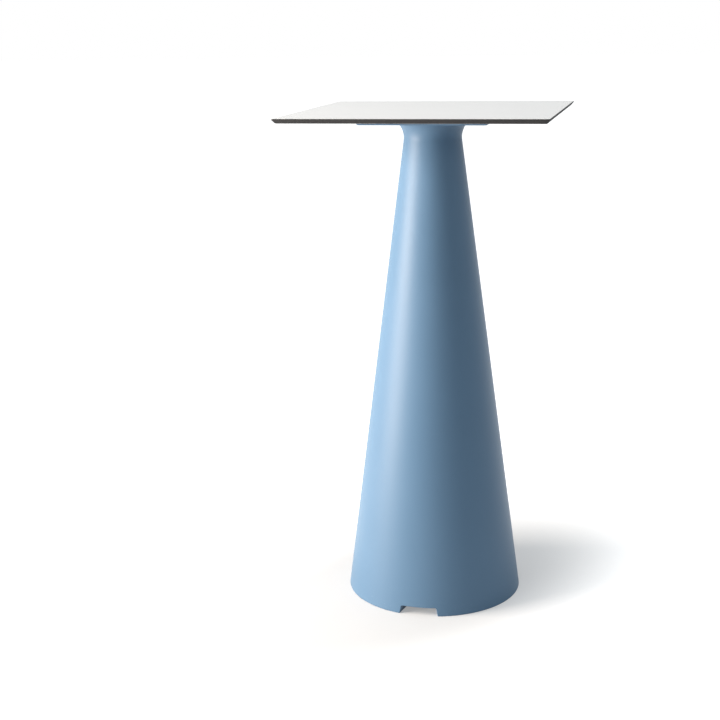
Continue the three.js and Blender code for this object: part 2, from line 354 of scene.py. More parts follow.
def raised(tree, base, mask, amount):
    """Base value plus the mask times an amount."""
    return math_node(tree, "MULTIPLY_ADD", mask, amount, base)


def object_place(tree):
    return add_node(tree, "ShaderNodeTexCoord").outputs["Object"]


def noise(tree, place, scale, detail=2.0, roughness=0.5):
    inputs = {"Vector": place, "Scale": scale, "Detail": detail, "Roughness": roughness}
    return add_node(tree, "ShaderNodeTexNoise", inputs).outputs["Fac"]


def stretched(tree, place, scale):
    return add_node(tree, "ShaderNodeMapping", {"Vector": place, "Scale": scale}).outputs[0]


def ramped(tree, value, low, high, to_low=0.0, to_high=1.0):
    """Value between low and high eased from to_low to to_high."""
    inputs = {"Value": value, "From Min": low, "From Max": high, "To Min": to_low, "To Max": to_high}
    return add_node(tree, "ShaderNodeMapRange", inputs, interpolation_type="SMOOTHSTEP").outputs["Result"]


def blended(tree, share, first, second):
    """Colour that goes from the first to the second with the share."""
    inputs = {MIX_SHARE: share, MIX_FIRST: first, MIX_SECOND: second}
    return add_node(tree, "ShaderNodeMix", inputs, data_type="RGBA").outputs[MIX_RESULT]


def new_group(name, inputs, outputs):
    group = bpy.data.node_groups.new(name, "ShaderNodeTree")
    for label, kind, value in inputs:
        socket = group.interface.new_socket(label, in_out="INPUT", socket_type=kind)
        socket.default_value = value
    for label, kind in outputs:
        group.interface.new_socket(label, in_out="OUTPUT", socket_type=kind)
    return group, group.nodes.new("NodeGroupInput"), group.nodes.new("NodeGroupOutput")


def make_grain_group():
    """Fine grain: one noise, and a share of a second that is three times finer."""
    inputs = [("Scale", "NodeSocketFloat", 1000.0), ("Fine share", "NodeSocketFloat", 0.5)]
    group, given, result = new_group("surface_grain", inputs, [("Height", "NodeSocketFloat")])
    finer = 3.1
    place = object_place(group)
    coarse_grain = noise(group, place, given.outputs["Scale"], detail=3.0, roughness=0.6)
    fine_scale = math_node(group, "MULTIPLY", given.outputs["Scale"], finer)
    fine_grain = noise(group, place, fine_scale, detail=2.0, roughness=0.55)
    height = raised(group, coarse_grain, fine_grain, given.outputs["Fine share"])
    group.links.new(height, result.inputs["Height"])
    return group


def make_drift_group():
    """Slow drift between two tones over the surface, with a little mottling in it."""
    inputs = [
        ("Tone", "NodeSocketColor", (0.5, 0.5, 0.5, 1)),
        ("Other tone", "NodeSocketColor", (0.5, 0.5, 0.5, 1)),
        ("Scale", "NodeSocketFloat", 5.0),
        ("Mottle scale", "NodeSocketFloat", 60.0),
    ]
    outputs = [("Color", "NodeSocketColor"), ("Mask", "NodeSocketFloat")]
    group, given, result = new_group("colour_drift", inputs, outputs)
    mottle_share = 0.4
    slow_share = 0.6
    place = object_place(group)
    slow = noise(group, place, given.outputs["Scale"], detail=2.0)
    mottle = noise(group, place, given.outputs["Mottle scale"], detail=4.0, roughness=0.6)
    both = raised(group, math_node(group, "MULTIPLY", slow, slow_share), mottle, mottle_share)
    mask = ramped(group, both, low=0.36, high=0.64)
    tone = blended(group, mask, given.outputs["Tone"], given.outputs["Other tone"])
    group.links.new(tone, result.inputs["Color"])
    group.links.new(mask, result.inputs["Mask"])
    return group


def make_wear_group():
    """Wear along edges: how far a normal averaged over the radius turns from the real one, broken up by
    noise."""
    inputs = [
        ("Radius", "NodeSocketFloat", 0.002),
        ("Scale", "NodeSocketFloat", 200.0),
        ("Amount", "NodeSocketFloat", 0.5),
    ]
    group, given, result = new_group("edge_wear", inputs, [("Mask", "NodeSocketFloat")])
    soft = add_node(group, "ShaderNodeBevel", {"Radius": given.outputs["Radius"]}, samples=6)
    real = add_node(group, "ShaderNodeNewGeometry").outputs["Normal"]
    normals = {0: soft.outputs["Normal"], 1: real}
    alike = add_node(group, "ShaderNodeVectorMath", normals, operation="DOT_PRODUCT").outputs["Value"]
    edge = ramped(group, alike, low=0.999, high=0.93)
    spots = noise(group, object_place(group), given.outputs["Scale"], detail=5.0, roughness=0.65)
    broken = math_node(group, "MULTIPLY", edge, ramped(group, spots, low=0.38, high=0.62))
    mask = math_node(group, "MULTIPLY", broken, given.outputs["Amount"])
    group.links.new(mask, result.inputs["Mask"])
    return group


def make_scratch_group():
    """Thin scratches: two sheets of noise stretched along different directions, kept where they are
    highest."""
    inputs = [("Scale", "NodeSocketFloat", 20.0), ("Amount", "NodeSocketFloat", 0.5)]
    group, given, result = new_group("fine_scratches", inputs, [("Mask", "NodeSocketFloat")])
    tilts = [(0.2, 0.1, 0.5), (0.2, 0.1, 2.3)]
    thinning = (1, 40, 8)
    place = object_place(group)
    sheets = []
    for tilt in tilts:
        tilted = add_node(group, "ShaderNodeMapping", {"Vector": place, "Rotation": tilt}).outputs[0]
        thin = stretched(group, tilted, thinning)
        streak = noise(group, thin, given.outputs["Scale"], detail=3.0, roughness=0.6)
        sheets.append(ramped(group, streak, low=0.66, high=0.74))
    both = math_node(group, "MAXIMUM", *sheets)
    mask = math_node(group, "MULTIPLY", both, given.outputs["Amount"])
    group.links.new(mask, result.inputs["Mask"])
    return group


def make_dust_group():
    """Dust: settles where the surface faces up, in patches."""
    inputs = [("Scale", "NodeSocketFloat", 30.0), ("Amount", "NodeSocketFloat", 0.2)]
    group, given, result = new_group("settled_dust", inputs, [("Mask", "NodeSocketFloat")])
    normal = add_node(group, "ShaderNodeNewGeometry").outputs["Normal"]
    upward = add_node(group, "ShaderNodeSeparateXYZ", {"Vector": normal}).outputs["Z"]
    facing = ramped(group, upward, low=0.1, high=0.9)
    spots = noise(group, object_place(group), given.outputs["Scale"], detail=6.0, roughness=0.65)
    patches = math_node(group, "MULTIPLY", facing, ramped(group, spots, low=0.35, high=0.7))
    mask = math_node(group, "MULTIPLY", patches, given.outputs["Amount"])
    group.links.new(mask, result.inputs["Mask"])
    return group


surface_grain = make_grain_group()
colour_drift = make_drift_group()
edge_wear = make_wear_group()
fine_scratches = make_scratch_group()
settled_dust = make_dust_group()


def effect(tree, group, inputs):
    node = add_node(tree, "ShaderNodeGroup", node_tree=group)
    for name, value in inputs.items():
        node.inputs[name].default_value = value
    return node.outputs


def drifting(tree, tone, other_tone, scale, mottle_scale):
    """Colour that drifts between two tones, and the mask that it follows."""
    inputs = {"Tone": tone, "Other tone": other_tone, "Scale": scale, "Mottle scale": mottle_scale}
    drift = effect(tree, colour_drift, inputs)
    return drift["Color"], drift["Mask"]


def wear(tree, radius, scale, amount):
    return effect(tree, edge_wear, {"Radius": radius, "Scale": scale, "Amount": amount})["Mask"]


def scratching(tree, scale, amount):
    return effect(tree, fine_scratches, {"Scale": scale, "Amount": amount})["Mask"]


def dusting(tree, scale, amount):
    return effect(tree, settled_dust, {"Scale": scale, "Amount": amount})["Mask"]


def grain(tree, scale, fine_share):
    return effect(tree, surface_grain, {"Scale": scale, "Fine share": fine_share})["Height"]


def new_finish(name, **constants):
    """Material with a Principled shader whose plain numbers sit on its own sockets."""
    finish = bpy.data.materials.new(name)
    finish.use_nodes = True
    shader = finish.node_tree.nodes["Principled BSDF"]
    for socket, value in constants.items():
        shader.inputs[socket.replace("_", " ")].default_value = value
    return finish, finish.node_tree, shader


def connect_finish(tree, shader, colour, roughness, height, depth):
    bump = add_node(tree, "ShaderNodeBump", {"Height": height, "Distance": depth, "Strength": 1.0})
    tree.links.new(colour, shader.inputs["Base Color"])
    tree.links.new(roughness, shader.inputs["Roughness"])
    tree.links.new(bump.outputs["Normal"], shader.inputs["Normal"])


# Tones of the finishes
PLASTIC_BLUE = (0.097, 0.186, 0.297, 1)
PLASTIC_PALER_BLUE = (0.104, 0.196, 0.311, 1)
PLASTIC_SCUFF = (0.30, 0.42, 0.56, 1)
# Plate paint: the cone's blue set darker, painted shade standing in for the shade under the tabletop
PAINT_BLUE_WITH_SHADE = (0.082, 0.158, 0.256, 1)
PAINT_PALER_BLUE_WITH_SHADE = (0.090, 0.168, 0.270, 1)
PAINT_UNDERCOAT = (0.42, 0.46, 0.50, 1)
DUST_GREY = (0.45, 0.45, 0.44, 1)
LAMINATE_WHITE = (0.820, 0.820, 0.812, 1)
LAMINATE_PALER_WHITE = (0.838, 0.838, 0.832, 1)
LAMINATE_SCRATCH = (0.74, 0.74, 0.73, 1)
LAMINATE_DUST = (0.66, 0.65, 0.62, 1)
CORE_BLACK = (0.016, 0.016, 0.017, 1)
CORE_SANDED = (0.032, 0.032, 0.034, 1)
CORE_WORN = (0.09, 0.09, 0.09, 1)
IRON_BLACK = (0.030, 0.031, 0.033, 1)
IRON_GREY = (0.055, 0.056, 0.058, 1)
RUST_BROWN = (0.10, 0.035, 0.014, 1)
RUST_ORANGE = (0.26, 0.10, 0.04, 1)
ZINC_GREY = (0.52, 0.54, 0.57, 1)
ZINC_PALER_GREY = (0.62, 0.63, 0.64, 1)
ZINC_TARNISH = (0.38, 0.38, 0.38, 1)
BRASS_YELLOW = (0.66, 0.44, 0.15, 1)
BRASS_PALER_YELLOW = (0.76, 0.54, 0.22, 1)
BRASS_TARNISH = (0.34, 0.22, 0.09, 1)

# Roughness of each finish, and what its drift, wear or scratches add to it
PLASTIC_ROUGHNESS = 0.42
PLASTIC_DRIFT = 0.05
PAINT_ROUGHNESS = 0.36
PAINT_DRIFT = 0.08
WORN_ADDS = 0.2
LAMINATE_ROUGHNESS = 0.42
LAMINATE_DRIFT = 0.06
SCRATCH_ADDS = 0.15
CORE_SMOOTHEST = 0.78
CORE_ROUGHEST = 0.92
IRON_ROUGHNESS = 0.62
RUST_ADDS = 0.25
ZINC_ROUGHNESS = 0.28
BRASS_ROUGHNESS = 0.26
METAL_DRIFT = 0.1
TARNISH_ADDS = 0.22

# Places and shares of the effects, in metres where they are lengths
SCUFF_TOP = 0.045
SCUFF_FULL = 0.004
LAYER_WAVER = 0.00003
LAYER_BLEND = 0.00002
SANDING_STRETCH = (1, 1, 60)
SANDING_SHARE = 0.4
RUST_SPOT_SHARE = 0.6
TARNISH_SHARE = 0.55
TURNING_STRETCH = (0.15, 0.15, 6)
SCRATCH_SINK = -0.5


def make_blue_plastic():
    """Moulded blue plastic: fine matt grain, slow drift of the pigment, scuffs close to the floor."""
    finish, tree, shader = new_finish("blue_polyethylene_finish", IOR=1.5, Specular_IOR_Level=0.32)
    colour, drift = drifting(tree, PLASTIC_BLUE, PLASTIC_PALER_BLUE, scale=3.5, mottle_scale=900.0)
    level = add_node(tree, "ShaderNodeSeparateXYZ", {"Vector": object_place(tree)}).outputs["Z"]
    low = ramped(tree, level, SCUFF_TOP, SCUFF_FULL)
    scuffed = math_node(tree, "MULTIPLY", low, scratching(tree, scale=26.0, amount=0.38))
    worn = wear(tree, radius=0.0022, scale=260.0, amount=0.5)
    marked = math_node(tree, "MAXIMUM", scuffed, worn)
    colour = blended(tree, marked, colour, PLASTIC_SCUFF)
    colour = blended(tree, dusting(tree, scale=35.0, amount=0.10), colour, DUST_GREY)
    roughness = raised(tree, PLASTIC_ROUGHNESS, drift, PLASTIC_DRIFT)
    roughness = raised(tree, roughness, marked, WORN_ADDS)
    height = grain(tree, scale=1100.0, fine_share=0.4)
    connect_finish(tree, shader, colour, roughness, height, depth=0.00006)
    return finish


def make_blue_paint():
    """Powder paint on metal, its blue darker than the cone's as painted shade under the tabletop: low orange
    peel, worn to a pale undercoat along edges.
    """
    finish, tree, shader = new_finish("blue_paint_finish", IOR=1.5, Specular_IOR_Level=0.28)
    colour, drift = drifting(tree, PAINT_BLUE_WITH_SHADE, PAINT_PALER_BLUE_WITH_SHADE, scale=9.0, mottle_scale=400.0)
    worn = wear(tree, radius=0.0012, scale=420.0, amount=0.6)
    colour = blended(tree, worn, colour, PAINT_UNDERCOAT)
    colour = blended(tree, dusting(tree, scale=60.0, amount=0.12), colour, DUST_GREY)
    roughness = raised(tree, PAINT_ROUGHNESS, drift, PAINT_DRIFT)
    roughness = raised(tree, roughness, worn, WORN_ADDS)
    peel = grain(tree, scale=520.0, fine_share=0.2)
    connect_finish(tree, shader, colour, roughness, peel, depth=0.00012)
    return finish


def decor_face(tree, place):
    """One on the thin outer layers and zero in the core, by the distance from the slab's middle."""
    level = add_node(tree, "ShaderNodeSeparateXYZ", {"Vector": place}).outputs["Z"]
    middle = (TABLE_HEIGHT - TOP_THICKNESS / 2) * MM
    layer_line = (TOP_THICKNESS / 2 - DECOR_LAYER) * MM
    from_middle = math_node(tree, "ABSOLUTE", math_node(tree, "SUBTRACT", level, middle))
    waver = ramped(tree, noise(tree, place, scale=240.0), 0.0, 1.0, -LAYER_WAVER, LAYER_WAVER)
    wavering = math_node(tree, "ADD", from_middle, waver)
    return ramped(tree, wavering, layer_line - LAYER_BLEND, layer_line + LAYER_BLEND)


def make_white_laminate():
    """Compact laminate: a thin white decor layer on both faces, a black core between them that shows along
    the cut edges with sanding lines, and hair scratches on the face."""
    finish, tree, shader = new_finish("white_laminate_finish", IOR=1.5, Specular_IOR_Level=0.42)
    place = object_place(tree)
    face = decor_face(tree, place)
    white, drift = drifting(tree, LAMINATE_WHITE, LAMINATE_PALER_WHITE, scale=4.0, mottle_scale=700.0)
    scratches = scratching(tree, scale=9.0, amount=0.25)
    white = blended(tree, scratches, white, LAMINATE_SCRATCH)
    white = blended(tree, dusting(tree, scale=14.0, amount=0.06), white, LAMINATE_DUST)
    sanding = noise(tree, stretched(tree, place, SANDING_STRETCH), scale=90.0, detail=4.0, roughness=0.6)
    core = blended(tree, ramped(tree, sanding, low=0.35, high=0.65), CORE_BLACK, CORE_SANDED)
    core = blended(tree, wear(tree, radius=0.0007, scale=300.0, amount=0.35), core, CORE_WORN)
    colour = blended(tree, face, core, white)
    core_roughness = ramped(tree, sanding, 0.3, 0.7, CORE_SMOOTHEST, CORE_ROUGHEST)
    face_roughness = raised(tree, LAMINATE_ROUGHNESS, drift, LAMINATE_DRIFT)
    face_roughness = raised(tree, face_roughness, scratches, SCRATCH_ADDS)
    from_core = math_node(tree, "SUBTRACT", face_roughness, core_roughness)
    roughness = raised(tree, core_roughness, face, from_core)
    height = raised(tree, grain(tree, scale=1500.0, fine_share=0.5), sanding, SANDING_SHARE)
    connect_finish(tree, shader, colour, roughness, height, depth=0.00004)
    return finish


def make_grey_iron():
    """Sand-cast iron: coarse skin under a thin dark paint, with rust where the edges have lost it."""
    finish, tree, shader = new_finish("grey_iron_finish", IOR=1.5)
    colour = drifting(tree, IRON_BLACK, IRON_GREY, scale=14.0, mottle_scale=180.0)[0]
    place = object_place(tree)
    worn = wear(tree, radius=0.003, scale=160.0, amount=0.9)
    spots = ramped(tree, noise(tree, place, scale=75.0, detail=6.0, roughness=0.7), low=0.60, high=0.70)
    rusted = math_node(tree, "MAXIMUM", worn, math_node(tree, "MULTIPLY", spots, RUST_SPOT_SHARE))
    rust = blended(tree, noise(tree, place, scale=500.0, detail=4.0), RUST_BROWN, RUST_ORANGE)
    colour = blended(tree, rusted, colour, rust)
    roughness = raised(tree, IRON_ROUGHNESS, rusted, RUST_ADDS)
    skin = grain(tree, scale=340.0, fine_share=0.6)
    connect_finish(tree, shader, colour, roughness, skin, depth=0.0006)
    return finish


def make_metal(name, tone, other_tone, tarnish, roughness):
    """Bare or plated metal: turning lines round the axis, fine scratches, and tarnish in patches and on
    edges."""
    finish, tree, shader = new_finish(name, Metallic=1.0)
    colour, drift = drifting(tree, tone, other_tone, scale=60.0, mottle_scale=700.0)
    place = object_place(tree)
    worn = wear(tree, radius=0.0006, scale=700.0, amount=0.6)
    patches = ramped(tree, noise(tree, place, scale=220.0, detail=5.0, roughness=0.6), low=0.52, high=0.66)
    dull = math_node(tree, "MAXIMUM", math_node(tree, "MULTIPLY", patches, TARNISH_SHARE), worn)
    colour = blended(tree, dull, colour, tarnish)
    lines = noise(tree, stretched(tree, place, TURNING_STRETCH), scale=260.0, detail=3.0, roughness=0.6)
    height = raised(tree, lines, scratching(tree, scale=160.0, amount=0.5), SCRATCH_SINK)
    roughness = raised(tree, roughness, drift, METAL_DRIFT)
    roughness = raised(tree, roughness, dull, TARNISH_ADDS)
    connect_finish(tree, shader, colour, roughness, height, depth=0.00003)
    return finish


blue_plastic = make_blue_plastic()
blue_paint = make_blue_paint()
white_laminate = make_white_laminate()
grey_iron = make_grey_iron()
zinc_steel = make_metal("zinc_steel_finish", ZINC_GREY, ZINC_PALER_GREY, ZINC_TARNISH, ZINC_ROUGHNESS)
yellow_brass = make_metal(
    "yellow_brass_finish", BRASS_YELLOW, BRASS_PALER_YELLOW, BRASS_TARNISH, BRASS_ROUGHNESS)


# Tabletop and plate

def make_tabletop():
    """Profile of inset and height carried along the rounded square: the lower face, the undercut, the
    upright land and the upper face, whose rings close on the centre."""
    edge = [[TOP_FACE_INSET, TOP_UNDERSIDE], [TOP_UNDERCUT, TOP_UNDERSIDE], [0, TABLE_HEIGHT - TOP_LAND],
            [0, TABLE_HEIGHT], [TOP_FACE_INSET, TABLE_HEIGHT]]
    profile = rounded(edge, [TOP_EDGE_ROUND] * 3, TOP_EDGE_STEPS)
    side = square_rings(TOP_SIDE / 2 - profile[:, 0], TOP_CORNER, profile[:, 1])
    centre = np.zeros((1, side.shape[1], 3))
    upper_face = np.concatenate([side[-1:], centre + [0, 0, TABLE_HEIGHT]])
    hole_radius = TOP_BUSH_RADIUS + CLEARANCE
    hole_end = TOP_UNDERSIDE + TOP_BUSH_LENGTH
    hole = rounded([[hole_radius + HOLE_FACE, TOP_UNDERSIDE], [hole_radius, TOP_UNDERSIDE],
                    [hole_radius, hole_end], [0, hole_end]], [BUSH_HOLE_ROUND] * 2, HOLE_STEPS)
    lower_centre = centre[0] + [0, 0, TOP_UNDERSIDE]
    lower_face = pierced_face(side[0], lower_centre, TOP_SCREW_CIRCLE, 0, hole)
    grids = [side, upper_face] + [grid[::-1] for grid in lower_face]
    return make_piece("tabletop_slab", grids, white_laminate, "tabletop")


def shown_on_plate(edge):
    """True for a sharp edge along the plate's outer side or round a screw's sink in its lower face."""
    if edge.calc_face_angle() < SHARP_ANGLE:
        return False
    outer_reach = (PLATE_SIDE / 2 - PLATE_UNDERCUT - PLATE_CORNER) * MM
    screw_reach = (PLATE_SIDE / 2 - PLATE_BOSS_INSET) * MM
    sink_reach = (TOP_SCREW_HEAD_RADIUS + CLEARANCE) * MM + WELD
    lower_face = SHELL_HEIGHT * MM + WELD
    places = [vert.co for vert in edge.verts]
    if all(max(abs(place.x), abs(place.y)) > outer_reach for place in places):
        return True
    from_screw = [math.hypot(abs(place.x) - screw_reach, abs(place.y) - screw_reach) for place in places]
    return max(place.z for place in places) < lower_face and max(from_screw) < sink_reach


def make_plate():
    """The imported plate's own faces, welded, with the edges that show rounded by an arc of three faces and
    the flat faces shaded flat."""
    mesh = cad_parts["top_plate"].data.copy()
    mesh.name = "plate_casting"
    imported_normals = mesh.attributes.get("custom_normal")
    if imported_normals:
        mesh.attributes.remove(imported_normals)
    shape = bmesh.new()
    shape.from_mesh(mesh)
    bmesh.ops.remove_doubles(shape, verts=shape.verts, dist=PLATE_WELD)
    bmesh.ops.dissolve_limit(shape, angle_limit=FLAT_ANGLE, verts=shape.verts, edges=shape.edges)
    shown = [edge for edge in shape.edges if shown_on_plate(edge)]
    bmesh.ops.bevel(shape, geom=shown, offset=PLATE_EDGE_ROUND * MM, offset_type="OFFSET",
                    segments=EDGE_STEPS, profile=ROUND_PROFILE, affect="EDGES", clamp_overlap=True)
    shape.to_mesh(mesh)
    shape.free()
    plate = finish_piece("plate_casting", mesh, blue_paint, "top_plate")
    flat_faces = plate.modifiers.new("flat_faces", "WEIGHTED_NORMAL")
    flat_faces.keep_sharp = True
    return plate


# Cone

flare_radius = (FLARE_RISE ** 2 + FLARE_REACH ** 2) / (2 * FLARE_REACH)
flare_centre = NECK_RADIUS + flare_radius
centre_distance = math.hypot(FOOT_RADIUS - flare_centre, NECK_HEIGHT)
side_lean = math.atan2(FOOT_RADIUS - flare_centre, NECK_HEIGHT) + math.asin(flare_radius / centre_distance)


def flare_arc(inset, top, steps):
    """Arc about the flare's centre, from where it touches the straight side up to the top's height."""
    radius = flare_radius + inset
    end = math.asin(min(1, (top - NECK_HEIGHT) / radius))
    turn = np.linspace(-side_lean, end, steps + 1)
    return np.stack([flare_centre - radius * np.cos(turn), NECK_HEIGHT + radius * np.sin(turn)], axis=-1)


def side_radius(height):
    return FOOT_RADIUS - height * math.tan(side_lean)


def inner_side_radius(height):
    return side_radius(height) - SHELL_WALL / math.cos(side_lean)


def recess_radius(height):
    return RECESS_RADIUS - RECESS_DRAFT * height / RECESS_DEPTH


def outer_recess_radius(height):
    return recess_radius(height) + SHELL_WALL


def straight_rows(radius_at, levels):
    """Level rows round a straight wall."""
    levels = np.array(levels)
    return np.stack([radius_at(levels), levels], axis=-1)


def rim_outline(grow):
    """Angle and height of the rim's lower edge in each column. Half a notch is a path of arc length and
    height: along the roof, round its corner, down the drafted side, round the foot's corner and along the
    floor to the middle of the foot. The other half is its mirror image, and the notches are equal."""
    reach = FOOT_RADIUS * math.pi / NOTCHES
    roof_half = NOTCH_WIDTH / 2 - NOTCH_DRAFT + grow
    foot_half = NOTCH_WIDTH / 2 + grow
    roof = NOTCH_HEIGHT + grow
    steps = NOTCH_ARC_STEPS
    path = rounded([[0, roof], [roof_half, roof], [foot_half, grow], [reach, grow]],
                   [NOTCH_ROOF_ROUND + grow, NOTCH_FOOT_ROUND], steps)
    length = np.concatenate([[0], np.cumsum(np.linalg.norm(np.diff(path, axis=0), axis=1))])
    # Points of the path where its five stretches start and end, and the columns in each of them
    ends = [0, 2, 2 + steps, 5 + steps, 5 + 2 * steps, 7 + 2 * steps]
    columns = [6, 4, 3, 4]
    columns.append(SHELL_COLUMNS // (2 * NOTCHES) - sum(columns))
    stations = np.concatenate([
        np.linspace(length[start], length[end], count, endpoint=False)
        for start, end, count in zip(ends, ends[1:], columns)
    ] + [length[-1:]])
    across = np.interp(stations, length, path[:, 0])
    height = np.interp(stations, length, path[:, 1])
    part_angle = np.concatenate([across[:-1], (2 * reach - across[::-1])[:-1]]) / FOOT_RADIUS
    part_height = np.concatenate([height[:-1], height[::-1][:-1]])
    starts = np.repeat(np.arange(NOTCHES) * full_turn / NOTCHES - quarter_turn, len(part_angle))
    return np.tile(part_angle, NOTCHES) + starts, np.tile(part_height, NOTCHES)


def pushed(angle, height, radius, distance):
    """Outline moved by the distance square to itself, towards the wall, on a cylinder of that radius."""
    after = np.append(angle[1:], angle[0] + full_turn)
    before = np.append(angle[-1] - full_turn, angle[:-1])
    run = radius * (after - before)
    rise = np.roll(height, -1) - np.roll(height, 1)
    length = np.hypot(run, rise)
    return angle - distance * rise / length / radius, height + distance * run / length


def rim_edge(angle, height, radius_at, side):
    """Quarter round from the rim's face to a wall. At each part of the turn it lies the edge's radius times
    one minus the cosine from the outline, and the radius times one minus the sine under the wall."""
    turn = np.linspace(0, quarter_turn, ARC_STEPS + 1)[:, None]
    away = RIM_EDGE_ROUND * (1 - np.cos(turn))
    under = RIM_EDGE_ROUND * (1 - np.sin(turn))
    moved_angle, moved_height = pushed(angle, height, radius_at(0), away)
    edge = ring(radius_at(moved_height) - side * under, moved_angle, moved_height)
    return moved_angle[-1], moved_height[-1], edge


def rows_to_level(angle, height, level, radius_at, steps):
    """Rows from an outline to a level ring. Angle and height go straight from the one to the other, by a
    share that is squared so that the rows crowd at the outline."""
    share = (np.linspace(0, 1, steps + 1) ** 2)[1:, None]
    rising = height + (level - height) * share
    turning = angle + (shell_angle - angle) * share
    return ring(radius_at(rising), turning, rising)


def shell_outside():
    """The recess ceiling's edge, the recess wall, the rim, the outer side, the flare, the lip and the deck's
    edge."""
    bend = RECESS_DEPTH - RECESS_BEND
    ceiling = rounded([[CEILING_RADIUS - CEILING_FACE, RECESS_DEPTH], [CEILING_RADIUS, RECESS_DEPTH],
                       [recess_radius(bend), bend]], [RECESS_ROUND])
    angle, height = rim_outline(0)
    inner_angle, inner_height, inner_edge = rim_edge(angle, height, recess_radius, -1)
    outer_angle, outer_height, outer_edge = rim_edge(angle, height, side_radius, 1)
    recess_rows = rows_to_level(inner_angle, inner_height, ceiling[-1, 1], recess_radius, RECESS_ROWS)
    side_rows = rows_to_level(outer_angle, outer_height, SIDE_ROWS_TOP, side_radius, SIDE_ROWS)
    flare = flare_arc(0, SHELL_HEIGHT - LIP_HEIGHT, FLARE_STEPS)
    lip_radius = NECK_RADIUS + FLARE_REACH
    lip = rounded([flare[-2], [lip_radius, SHELL_HEIGHT - LIP_HEIGHT], [lip_radius, SHELL_HEIGHT],
                   [lip_radius - LIP_FACE, SHELL_HEIGHT]], [LIP_ROUND] * 2, EDGE_STEPS)
    straight = straight_rows(side_radius, SIDE_LEVELS + [flare[0, 1] - SIDE_END])
    upper_side = np.concatenate([straight, flare[:-1], lip[1:]])
    return np.concatenate([
        turned(ceiling, shell_angle), recess_rows[::-1][1:], inner_edge[::-1], outer_edge, side_rows,
        turned(upper_side, shell_angle),
    ])


def shell_inside(deck_underside, ceiling_top):
    """The edge under the deck, the flare and the side seen from within, down to the hollow ring, and up and
    over the recess."""
    angle, height = rim_outline(SHELL_WALL)
    flare = flare_arc(SHELL_WALL, deck_underside, INNER_FLARE_STEPS)
    start = [[flare[-1, 0] - HOLE_FACE, deck_underside]]
    side = np.concatenate([start, flare[::-1], straight_rows(inner_side_radius, INNER_LEVELS)])
    rows = rows_to_level(angle, height, INNER_ROWS_TOP, inner_side_radius, INNER_ROWS)
    hollow_out = ring(inner_side_radius(height), angle, height)[None]
    hollow_in = ring(outer_recess_radius(height), angle, height)[None]
    over_recess = rows_to_level(angle, height, ceiling_top, outer_recess_radius, OVER_RECESS_ROWS)
    top_start = ring(outer_recess_radius(ceiling_top) - RING_FACE, shell_angle, ceiling_top)[None]
    return np.concatenate([
        turned(side, shell_angle), rows[::-1], hollow_out, hollow_in, over_recess, top_start,
    ])


def insert_hole(radius, mouth, end):
    """Blind hole for a threaded insert, from the face round its mouth to its end."""
    return rounded([[radius + HOLE_FACE, mouth], [radius, mouth], [radius, end], [0, end]],
                   [INSERT_HOLE_ROUND] * 2, HOLE_STEPS)


def insert_boss(radius, foot, end):
    """Boss round an insert's hole, from the face round its foot to its end."""
    return rounded([[radius + HOLE_FACE, foot], [radius, foot], [radius, end], [0, end]],
                   [BOSS_ROUND] * 2, HOLE_STEPS)


def make_shell():
    """Section of the wall carried round the axis: the outside, the deck's middle hole and the inside, joined
    by the deck's and the recess ceiling's pierced faces with their bosses."""
    deck_underside = SHELL_HEIGHT - DECK_THICKNESS
    ceiling_top = RECESS_DEPTH + SHELL_WALL
    outside = shell_outside()
    inside = shell_inside(deck_underside, ceiling_top)
    mouth_radius = DECK_HOLE_RADIUS + HOLE_FACE
    throat = turned(rounded([
        [mouth_radius, SHELL_HEIGHT], [DECK_HOLE_RADIUS, SHELL_HEIGHT],
        [DECK_HOLE_RADIUS, deck_underside], [mouth_radius, deck_underside],
    ], [DECK_HOLE_ROUND] * 2, EDGE_STEPS), shell_angle)

    deck_hole_radius = DECK_INSERT_RADIUS + CLEARANCE
    deck_hole_end = SHELL_HEIGHT - DECK_INSERT_LENGTH
    deck_hole = insert_hole(deck_hole_radius, SHELL_HEIGHT, deck_hole_end)
    deck_boss = insert_boss(deck_hole_radius + BOSS_WALL, deck_underside, deck_hole_end - BOSS_WALL)
    foot_hole_radius = FOOT_INSERT_RADIUS + CLEARANCE
    foot_hole_end = RECESS_DEPTH + FOOT_INSERT_LENGTH
    foot_hole = insert_hole(foot_hole_radius, RECESS_DEPTH, foot_hole_end)
    foot_boss = insert_boss(foot_hole_radius + BOSS_WALL, ceiling_top, foot_hole_end + BOSS_WALL)

    start = -quarter_turn
    axis = np.zeros((SHELL_COLUMNS, 3))
    below = axis + [0, 0, RECESS_DEPTH]
    above = axis + [0, 0, ceiling_top]
    deck = pierced_face(outside[-1], throat[0], PLATE_BOLT_CIRCLE, start, deck_hole)
    deck_below = pierced_face(inside[0], throat[-1], PLATE_BOLT_CIRCLE, start, deck_boss)
    ceiling_below = pierced_face(outside[0], below, BALLAST_BOLT_CIRCLE, start, foot_hole)
    ceiling_above = pierced_face(inside[-1], above, BALLAST_BOLT_CIRCLE, start, foot_boss)
    facing_down = [grid[::-1] for grid in deck_below + ceiling_below]
    grids = [outside, throat, inside] + deck + ceiling_above + facing_down
    return make_piece("cone_shell", grids, blue_plastic, "base_shell")


# Ballast

